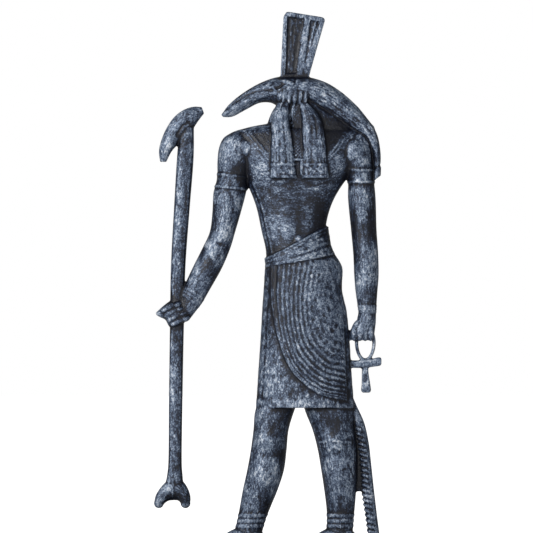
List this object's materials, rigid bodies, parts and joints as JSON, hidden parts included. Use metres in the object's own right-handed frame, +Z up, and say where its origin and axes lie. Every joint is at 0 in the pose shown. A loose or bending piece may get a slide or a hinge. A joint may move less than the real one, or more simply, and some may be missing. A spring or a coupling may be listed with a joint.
{
  "type": "egyptian god statue",
  "caption": "Striding animal-headed Egyptian god statuette in blackened metal, holding a forked staff and an ankh, on a low rectangular plinth.",
  "frame": {"origin": "centre of the plinth's underside", "axes": "+Z up through the figure; -Y is the front that the chest faces; -X is the way the feet and the snout point"},
  "size_m": [0.12, 0.056, 0.279],
  "materials": {
    "figure_metal": "blackened metal dry-brushed with blue-grey silver",
    "plinth_metal": "satin blackened metal, lightly rubbed on the edges"
  },
  "bodies": {
    "root": {"figure": "figure_metal", "plinth": "plinth_metal"}
  },
  "joints": []
}
